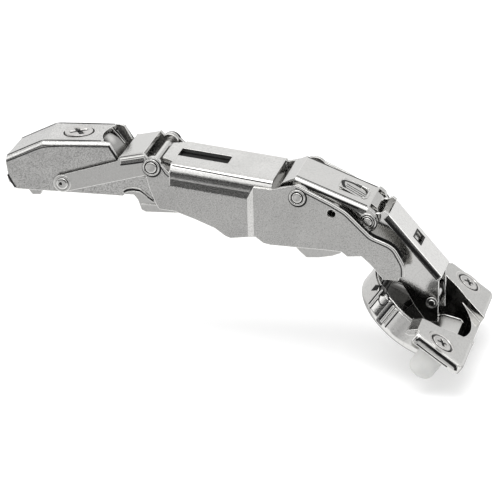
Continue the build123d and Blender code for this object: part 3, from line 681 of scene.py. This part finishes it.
class HINGE_OT_seams(bpy.types.Operator):
    """Add pressed ribs, rolled edges and painted shade in narrow gaps"""

    bl_idname = "hinge.seams"
    bl_label = "Ribs and gaps"

    def execute(self, context):
        self.arm()
        self.levers()
        self.grooves()
        self.bends()
        self.window()
        self.louvre()
        self.cup()
        self.lips()
        return {"FINISHED"}

    def arm(self):
        """Edges and gaps of the arm (front curve, corner slot, ridge, scoop) and the rear link's folds: rolled
        beads, and dark strips of painted shade.
        """
        lobe = ((16.2, 1.3), (17.2, 2.0), (19.0, 2.3), (21.2, 2.1), (22.7, 1.1), (23.8, 0.1), (25.2, -0.8))
        ridge = ((-19.8, 8.5), (-8.5, 13.75), (0.1, 14.85), (10.3, 15.45), (12.0, 15.35))
        scoop = ((9.2, 4.9, 16.0), (9.9, 5.4, 14.7), (11.1, 6.0, 12.9), (12.8, 6.0, 10.8))
        scoop_out = (0.8, 0, 0.6)
        darks, lights, laps, rolls, lobes = [], [], [], [], []
        for side in SIDES:
            out, face = (0, side, 0), side * ARM_FACE
            line = on_face(lobe, face, 40, 3)
            darks.append(strip(0.34, 0.05, line, out))
            lights.append(bead(0.26, 0.3, line + (-0.1, 0, 0.6), out))
            lights.append(bead(0.2, 0.25, line + (0.05, 0, -0.5), out))
            fold = on_face(((20.9, -2.75), (26.4, -2.6)), side * 7.38, 10)
            lights.append(bead(0.28, 0.22, fold, out))
            corner = on_face(((-19.7, 4.4), (-18.6, 2.2), (-17.5, 0.4)), face, 8)
            darks.append(strip(0.3, 0.06, corner, out))
            darks.append(strip(0.15, 0.05, on_face(ridge, side * 8.78, 60, 4), (0, side, 0.25)))
            darks.append(strip(0.34, 0.05, on_face(((12.0, 15.6), (14.6, 11.4)), face, 10), out))
            rib = eased([(x, side * y, z) for x, y, z in scoop], 24, 2)
            lights.append(bead(0.3, 0.3, rib, scoop_out))
            darks.append(strip(0.16, 0.06, rib + (0.45, side * 0.1, 0.1), scoop_out))
            lap = on_face(((-1.3, 5.93), (0.5, 6.5), (14.3, 11.17)), side * 9.5, 20)
            laps.append(strip(0.3, 0.04, lap, (-0.3, 0, 0.95)))
            roll = on_face(((15.9, 12.05), (20.0, 12.95), (23.3, 13.7)), side * 9.98, 16)
            rolls.append(bead(0.6, 0.4, roll, (-0.12, side * 0.72, 0.68)))
            foot = on_face(((15.9, 10.4), (20.1, 11.2), (23.3, 11.9)), side * LINK_FACE, 16)
            laps.append(strip(0.22, 0.05, foot, out))
            ear = on_face(((27.2, 12.9), (28.3, 11.7), (30.0, 9.0), (31.0, 8.3)), side * LEVER_FACE, 24, 2)
            lobes.append(strip(0.15, 0.05, ear, out))
        # painted shade: dark strips along the gaps, folds and edges
        piece("link_gap_shade", laps, "painted_gap_shade", "rear_link")
        piece("link_rolled_edges", rolls, "bright_nickel", "rear_link")
        piece("lever_ear_gap_shade", lobes, "painted_gap_shade", "main_lever")
        piece("arm_gap_shade", darks, "painted_gap_shade", "arm")
        piece("arm_rolled_edges", lights, "smooth_nickel", "arm")

    def levers(self):
        """Rolled upper edges of the main lever's sides, from crossing eye to claw, and dark strips of painted
        shade beside them and under the roof.
        """
        edge = (
            (69.5, 8.25), (72.1, 6.95), (79.5, 3.45), (83.9, 0.95), (91.2, -6.25), (96.5, -8.3), (98.3, -9.6),
            (100.0, -12.7), (101.05, -14.8), (101.05, -18.0),
        )
        grids, darks = [], []
        for side in SIDES:
            out = (0, side, 0)
            line = on_face(edge, side * 12.2, 90, 4)
            grids.append(carried(tube(0.42), line, out))
            ahead = headings(line)
            inward = np.column_stack([ahead[:, 2], 0.0 * ahead[:, 1], -ahead[:, 0]])
            # first and last point, distance inward from the edge, place across, half width
            for first, last, reach, y, half in (
                (0, 90, 0.72, EAR_FACE, 0.16),
                (28, 52, -0.45, 11.3, 0.25),
                (51, 78, -0.6, 11.3, 0.42),
            ):
                # painted shade: a dark strip beside the rolled edge
                beside = (line + reach * inward)[first:last]
                beside[:, 1] = side * y
                darks.append(strip(half, 0.05, beside, out))
        piece("lever_rolled_edges", grids, "bright_nickel", "main_lever")
        # painted shade: a wide dark sheet under the lever's roof
        under = on_face([(x, 11.85 - (x - 31.2) * 3.3 / 30.6 - 1.5) for x in (30.4, 47.0)], 0.0, 6)
        darks.append(strip(3.6, 0.1, under, (0.107, 0, 0.994)))
        piece("lever_gap_shade", darks, "painted_gap_shade", "main_lever")

    def bends(self):
        """Painted reflection: the thin dark line where each roof starts to bend down; and painted shade: the
        dark bands below two of them.
        """
        # name, body, out of the line in x and z, points on the near side, half width
        for name, body, (out_x, out_z), points, half in (
            ("arm_bends", "arm", (-0.2, 0.92), ((-20.1, 7.4, 10.0), (-14.3, 7.4, 12.85), (-8.6, 7.5, 15.6),
             (-0.2, 7.4, 16.05), (9.4, 7.3, 16.45)), 0.1),
            ("rear_link_bends", "rear_link", (-0.14, 0.62), ((15.9, 9.65, 12.6), (23.0, 9.65, 14.15)), 0.1),
            ("main_lever_bends", "main_lever", (0.08, 0.7), ((31.6, 9.95, 11.2), (61.6, 10.3, 7.65)), 0.14),
            ("inner_lever_bends", "inner_lever", (0.36, 0.93),
             ((68.5, 7.62, 9.68), (89.4, 7.62, 1.72)), 0.13),
            ("inner_lever_shades", "inner_lever", (0.12, 0.3),
             ((70.0, 9.08, 7.72), (87.2, 9.08, 1.28)), 0.32),
            ("front_link_shades", "front_link", (0.18, 0.16),
             ((94.5, 6.38, -2.5), (110.2, 6.24, -19.8)), 0.46),
        ):
            grids = []
            for side in SIDES:
                line = eased([(x, side * y, z) for x, y, z in points], 40, 1)
                out_y = side * math.sqrt(max(0.0, 1.0 - out_x**2 - out_z**2))
                grids.append(strip(half, 0.08, line, (out_x, out_y, out_z)))
            # painted reflection and painted shade: dark strips on the roofs and sides
            piece(name, grids, "painted_gap_shade", body)

    def window(self):
        """Painted shade at the front link's window: four dark strips round it, on the link's roof."""
        down, up = slope(WINDOW_FALL)
        sills = []
        # places down the roof and across it, from and to
        for along, across in (
            ((-1.85, 1.85), (-2.9, -2.9)), ((-1.85, 1.85), (2.9, 2.9)),
            ((-1.6, -1.6), (-3.1, 3.1)), ((1.6, 1.6), (-3.1, 3.1)),
        ):
            ends = [np.array([103.3, y, -10.1]) + a * down for a, y in zip(along, across)]
            sills.append(strip(0.24, 0.05, eased(ends, 6), up))
        piece("window_rim_shade", sills, "painted_gap_shade", "front_link")

    def grooves(self):
        """Three dark strips of painted shade along the louvre's tab, where it has grooves."""
        down, up = slope(LOUVRE_FALL)
        middles = [np.array([84.4, y, 3.54]) - 0.22 * up for y in (-2.3, -1.0, 0.3)]
        lines = [eased([middle - 2.5 * down, middle + 3.7 * down], 6) for middle in middles]
        piece("louvre_groove_shade", [strip(0.25, 0.05, line, up) for line in lines], "painted_gap_shade", "inner_lever")

    def louvre(self):
        """The louvre's rim of painted shade and its bright lip."""
        rear = ((80.6, 0.6, 5.75), (80.8, -1.0, 5.6), (81.7, -2.8, 5.1))
        far = ((80.6, 0.8, 5.7), (81.0, 1.7, 5.45), (83.1, 2.8, 4.35), (85.4, 2.9, 3.1))
        out = (0.42, 0, 0.9)
        rim = [strip(0.55, 0.06, eased(rear, 12, 2), out), strip(0.36, 0.06, eased(far, 20, 2), out)]
        piece("louvre_rim_shade", rim, "painted_gap_shade", "inner_lever")
        hook = ((85.6, 3.6, 3.25), (87.2, 3.4, 2.6), (88.1, 2.0, 2.25), (88.2, -2.6, 2.2), (87.3, -4.2, 2.55))
        lip = [bead(0.36, 0.3, eased(hook, 40, 3), (0.36, 0, 0.93))]
        piece("louvre_lip", lip, "bright_nickel", "inner_lever")

    def away(self, turn):
        """Direction straight out of the cup's wall at a turn in degrees; turn 0 faces across."""
        angle = math.radians(turn)
        return np.array([math.sin(angle), -math.cos(angle), 0.0]) @ CUP_AXES

    def on_wall(self, turn, levels):
        """Points on the cup's wall at a turn in degrees, one at each level, in millimetres of the frame."""
        return [CUP_AT + CUP_WALL * self.away(turn) + n * CUP_AXES[2] for n in levels]

    def cup(self):
        """Ribs pressed in the cup's wall, and painted shade: dark strips beside them, four stepped ones at the
        ratchet marks, and a dark ring.
        """
        lights, darks = [], []
        for turn, low, high, side, height in (
            (-46.4, -10.2, -3.0, 0.4, 0.2),
            (-25.0, -9.7, -3.2, 0.5, 0.24),
            (-21.3, -9.6, -3.2, 0.5, 0.24),
        ):
            line = self.on_wall(turn, np.linspace(low, high, 12))
            lights.append(bead(side, height, line, self.away(turn)))
        # painted shade: dark strips beside the ribs
        for turn, low, high, side in (
            (-43.6, -10.0, -5.8, 0.2),
            (-48.6, -9.6, -3.6, 0.22),
            (-27.8, -9.8, -2.9, 0.26),
            (-18.4, -10.0, -3.2, 0.2),
        ):
            line = self.on_wall(turn, np.linspace(low, high, 8))
            darks.append(strip(side, 0.06, line, self.away(turn)))
        # painted shade: four stepped dark strips at the ratchet marks
        for step in range(4):
            turn = -57.5 + 1.6 * step
            line = self.on_wall(turn, (-6.6 + 0.5 * step, -4.2 + 0.4 * step))
            darks.append(strip(0.22, 0.06, line, self.away(turn)))
        # painted shade: a dark ring on the wall
        turn = -38.4
        out = self.away(turn)
        axes = (np.cross(out, CUP_AXES[2]), CUP_AXES[2], out)
        darks.append(turned(washer(1.7, 1.98, 0.07, foot=-0.5), self.on_wall(turn, [-4.4])[0], axes))
        piece("cup_wall_ribs", lights, "bright_nickel", "cup")
        piece("cup_wall_shade_lines", darks, "painted_gap_shade", "cup")

    def lips(self):
        """The rolled outer lip of each wing: a face that leans in, one that leans out, and a narrow slot, with
        painted shade along the lip and in the slot.
        """
        lean = (
            (-0.2, -0.4), (0.04, -0.5), (0.46, -2.05), (0.44, -2.25), (0.2, -3.25), (-0.3, -3.25), (-0.2, -0.4),
        )
        lights, darks = [], []
        for side in SIDES:
            rows = []
            for u, shrink in zip(np.linspace(2.2, 17.3, 24), np.sin(np.linspace(0.0, np.pi, 24)) ** 0.25):
                rows.append(in_cup([(u, side * (WING_FACE + (out - 0.02) * shrink), n) for out, n in lean]))
            lights.append(closed(np.array(rows)))
            # painted shade: dark bands along the lip
            for points, half in (
                (((2.5, -1.75), (2.9, -1.2), (4.0, -0.98), (16.4, -1.05)), 0.3),
                (((6.5, -0.95), (12.0, -1.1), (16.2, -1.2), (16.75, -1.5), (16.9, -2.1)), 0.42),
            ):
                along = eased(points, 30, 2)
                shrink = np.sin(np.pi * (along[:, 0] - 2.2) / 15.1) ** 0.25
                reach = np.interp(-along[:, 1], (0.5, 2.05), (0.04, 0.46))
                y = side * (WING_FACE + (reach - 0.02) * shrink)
                shade = in_cup(np.column_stack([along[:, 0], y, along[:, 1]]))
                darks.append(strip(half, 0.06, shade, np.array([0.0, side, 0.27]) @ CUP_AXES))
            # painted shade: a dark strip in the narrow slot
            slot = in_cup([(u, side * 27.83, -2.72) for u in np.linspace(3.4, 14.4, 8)])
            darks.append(strip(0.16, 0.06, slot, (0, side, 0)))
        piece("wing_lips", lights, "bright_nickel", "cup", crease=25.0)
        piece("wing_slot_shade", darks, "painted_gap_shade", "cup")


class HINGE_OT_fittings(bpy.types.Operator):
    """Make the small fittings in the front link and the cup"""

    bl_idname = "hinge.fittings"
    bl_label = "Link and cup fittings"

    def execute(self, context):
        self.leaf()
        self.window()
        self.shoulder()
        return {"FINISHED"}

    def leaf(self):
        """The sprung leaf: from the cup's floor over a bend to the mouth, as wide as its corners allow."""
        bend = ((7.4, -7.2), (7.6, -6.4), (8.3, -5.75), (9.6, -5.15))
        line = eased([(7.45, -10.8), *bend, (13.0, -3.75), (13.7, -3.6)], 48, 5)
        gone = np.linspace(0.0, 1.0, 48)
        half = 5.9 - 1.5 * np.clip((gone - 0.86) / 0.14, 0, 1) ** 3 - 0.9 * np.clip(0.1 - gone, 0, 0.1) / 0.1
        across = np.linspace(-1.0, 1.0, 25)
        u, n = (np.broadcast_to(line[:, k, None], (48, 25)) for k in (0, 1))
        crown = 0.25 * (1.0 - across[None, :] ** 4)
        face = in_cup(np.stack([u - 0.4 * crown, half[:, None] * across, n + crown - 0.1], axis=-1))
        ahead = headings(line)
        out = np.column_stack([-ahead[:, 1], np.zeros(48), ahead[:, 0]]) @ CUP_AXES
        grids = [sheet(face, 0.75, out[:, None])]
        made = piece("closing_leaf_sprung", grids, "leaf_steel", "cup", "nickel_satin")
        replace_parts(made, "closing_leaf")
        rims, darks = [], []
        for side in SIDES:
            edge = in_cup(np.column_stack([line[8:, 0], side * (half[8:] - 0.05), line[8:, 1] - 0.1]))
            rims.append(carried(tube(0.34, 14), edge, (0, side, 0)))
            # painted shade: dark strips just inside the rolled edges
            u, y, n = line[8:-3, 0] - 0.1, side * (half[8:-3] - 0.62), line[8:-3, 1] + 0.07
            darks.append(strip(0.14, 0.08, in_cup(np.column_stack([u, y, n])), out[8:-3]))
        piece("leaf_rolled_edges", rims, "bright_nickel", "cup", "nickel_satin")
        piece("leaf_gap_shade", darks, "painted_gap_shade", "cup", "nickel_satin")

    def window(self):
        """The light lug seen through the front link's window: a curved tongue under the roof."""
        down, up = slope(WINDOW_FALL)
        middle = np.array([103.2, 0.0, -10.0]) - 1.75 * up
        along, across = np.linspace(-2.2, 2.2, 17)[:, None], np.linspace(-4.2, 4.2, 17)[None, :]
        rise = 0.5 * (1.0 - (along / 2.2) ** 2) + 0.0 * across
        face = middle + along[..., None] * down + across[..., None] * Y_AXIS + rise[..., None] * up
        pad_along, pad_across = np.linspace(-1.05, 1.05, 15)[:, None], np.linspace(-2.45, 2.45, 17)[None, :]
        swell = 0.25 * (1.0 - (pad_along / 1.05) ** 4) * (1.0 - (pad_across / 2.45) ** 6)
        top = middle + 0.75 * up + pad_along[..., None] * down + pad_across[..., None] * Y_AXIS
        grids = [sheet(face, 0.6, up), sheet(top + swell[..., None] * up, 1.0, up)]
        piece("window_lug", grids, "smooth_nickel", "front_link")

    def shoulder(self):
        """The front link's rear shoulders: a flat web on each side between the front pin and the foot."""
        upper = on_face(((90.6, -3.9), (92.0, -6.0), (94.4, -10.0), (97.5, -15.0)), 6.45, 14, 2)
        lower = on_face(((88.2, -5.6), (89.7, -8.2), (92.2, -11.6), (96.6, -16.4)), 6.45, 14, 2)
        blend = np.linspace(0.0, 1.0, 9)[:, None, None]
        face = (1.0 - blend) * upper + blend * lower
        grids = [sheet(face * (1, side, 1), 0.9, side * Y_AXIS) for side in SIDES]
        piece("front_link_webs", grids, "polished_nickel", "front_link")


class HINGE_OT_dowels(bpy.types.Operator):
    """Finish the plastic dowels"""

    bl_idname = "hinge.dowels"
    bl_label = "Dowels"

    def execute(self, context):
        look = context.scene.hinge_finishes
        plastic("dowel_nylon", look.dowel, 0.4, 0.6)
        dress("dowel_nylon", "dowel_near", "dowel_far")
        return {"FINISHED"}


class HINGE_OT_studio(bpy.types.Operator):
    """Floor, soft light and camera"""

    bl_idname = "hinge.studio"
    bl_label = "Studio"

    def execute(self, context):
        self.floor(context)
        self.world(context)
        self.lamps(context)
        self.camera(context)
        context.scene.view_settings.view_transform = "Standard"
        return {"FINISHED"}

    def floor(self, context):
        """A wide flat sheet under the lowest point, pale, seen only from above."""
        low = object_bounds()[0]
        z = low[2] - context.scene.hinge_studio.floor_drop
        corners = [(x, y, z) for x, y in ((-3, -3), (3, -3), (3, 3), (-3, 3))]
        mesh = bpy.data.meshes.new("floor")
        mesh.from_pydata(corners, [], [(0, 1, 2, 3)])
        floor = bpy.data.objects.new("floor", mesh)
        context.scene.collection.objects.link(floor)
        material, n, out = blank("floor_paper")
        seen = n.add("LightPath").outputs["Is Camera Ray"]
        paper = n.add("BsdfDiffuse", Color=(0.8, 0.8, 0.8, 1.0))
        glow = n.add("Emission", Color=(1.0, 1.0, 1.0, 1.0), Strength=n.math("MULTIPLY", seen, 0.25))
        lit = n.both(paper.outputs["BSDF"], glow.outputs["Emission"])
        # the sheet is clear from below, so views from underneath see the hinge
        below = n.add("NewGeometry").outputs["Backfacing"]
        n.link(n.both(lit, n.add("BsdfTransparent").outputs["BSDF"], below), out.inputs["Surface"])
        mesh.materials.append(material)
        floor.visible_glossy = False
        floor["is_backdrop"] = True

    def world(self, context):
        """A light tent round the hinge's long side: brightness follows the angle back, over, front and under.

        The low front card, which the side plates mirror, also changes from left to right."""
        world = bpy.data.worlds.new("tent")
        context.scene.world = world
        world.use_nodes = True
        n = Nodes(world.node_tree)
        out = n.add("OutputWorld")
        x, y, z = n.add("SeparateXYZ", Vector=n.add("TexCoord").outputs["Generated"]).outputs
        angle = n.math("ARCTAN2", z, y)
        level = n.graph(angle, radians(TENT), TENT_TOP)
        cards = (FRONT_CARD, FRONT_SIDEWAYS), (LOW_CARD, LOW_SIDEWAYS), (BACK_CARD, BACK_SIDEWAYS)
        for card, sideways in cards:
            level = n.mix("MULTIPLY", level, n.graph(x, sideways), n.graph(angle, radians(card)))
        tent = n.add("Background", Color=level, Strength=TENT_TOP)
        plain = n.add("Background", Color=(1.0, 1.0, 1.0, 1.0), Strength=1.0)
        seen = n.add("LightPath").outputs["Is Camera Ray"]
        both = n.both(tent.outputs["Background"], plain.outputs["Background"], seen)
        n.link(both, out.inputs["Surface"])

    def lamps(self, context):
        """One broad soft lamp overhead."""
        key = bpy.data.lights.new("softbox", "AREA")
        key.shape = "RECTANGLE"
        key.size, key.size_y = 0.5, 0.35
        key.energy = 1.2 * context.scene.hinge_studio.key
        lamp = bpy.data.objects.new("softbox", key)
        context.scene.collection.objects.link(lamp)
        lamp.location = (0.05, -0.15, 0.55)
        lamp.rotation_euler = (Vector((0.05, 0, 0)) - lamp.location).to_track_quat("-Z", "Y").to_euler()

    def camera(self, context):
        """Long lens from the near right, a little above; the axes are the view's right, up and back."""
        eye = np.array([0.25461, -0.80042, 0.32688])
        turn, rise, roll = (math.radians(a) for a in (14.205, 22.682, -1.408))
        right = np.array([math.cos(turn), math.sin(turn), 0.0])
        ahead = np.array([-math.sin(turn) * math.cos(rise), math.cos(turn) * math.cos(rise), -math.sin(rise)])
        up = np.cross(right, ahead)
        level = math.cos(roll) * right + math.sin(roll) * up
        upright = math.cos(roll) * up - math.sin(roll) * right
        data = bpy.data.cameras.new("camera")
        data.sensor_width = 36.0
        data.sensor_fit = "HORIZONTAL"
        data.lens = context.scene.hinge_studio.lens
        data.clip_start, data.clip_end = 0.01, 20.0
        camera = bpy.data.objects.new("camera", data)
        context.scene.collection.objects.link(camera)
        axes = np.column_stack([level, upright, -ahead])
        camera.matrix_world = Matrix.Translation(eye.tolist()) @ Matrix(axes.tolist()).to_4x4()
        context.scene.camera = camera


class HINGE_PT_panel(bpy.types.Panel):
    """Sidebar list of the hinge's makers"""

    bl_idname = "HINGE_PT_panel"
    bl_label = "Cup hinge"
    bl_space_type = "VIEW_3D"
    bl_region_type = "UI"
    bl_category = "Hinge"

    def draw(self, context):
        column = self.layout.column()
        for maker in MAKERS:
            column.operator(maker.bl_idname)
        for group in (context.scene.hinge_finishes, context.scene.hinge_studio):
            for name in group.bl_rna.properties.keys():
                if name not in ("rna_type", "name"):
                    column.prop(group, name)


MAKERS = (
    HINGE_OT_plates,
    HINGE_OT_pins,
    HINGE_OT_eyes,
    HINGE_OT_screws,
    HINGE_OT_seams,
    HINGE_OT_fittings,
    HINGE_OT_dowels,
    HINGE_OT_studio,
)
CLASSES = (HingeFinishes, HingeStudio, *MAKERS, HINGE_PT_panel)


def register():
    """Registers the classes and their settings on the scene."""
    for cls in CLASSES:
        bpy.utils.register_class(cls)
    bpy.types.Scene.hinge_finishes = PointerProperty(type=HingeFinishes)
    bpy.types.Scene.hinge_studio = PointerProperty(type=HingeStudio)


def unregister():
    """Takes the settings and classes away again."""
    del bpy.types.Scene.hinge_studio
    del bpy.types.Scene.hinge_finishes
    for cls in reversed(CLASSES):
        bpy.utils.unregister_class(cls)


def main():
    """Makes every piece in order."""
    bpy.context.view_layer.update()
    register()
    for maker in MAKERS:
        group, name = maker.bl_idname.split(".")
        getattr(getattr(bpy.ops, group), name)()


if __name__ == "__main__":
    main()
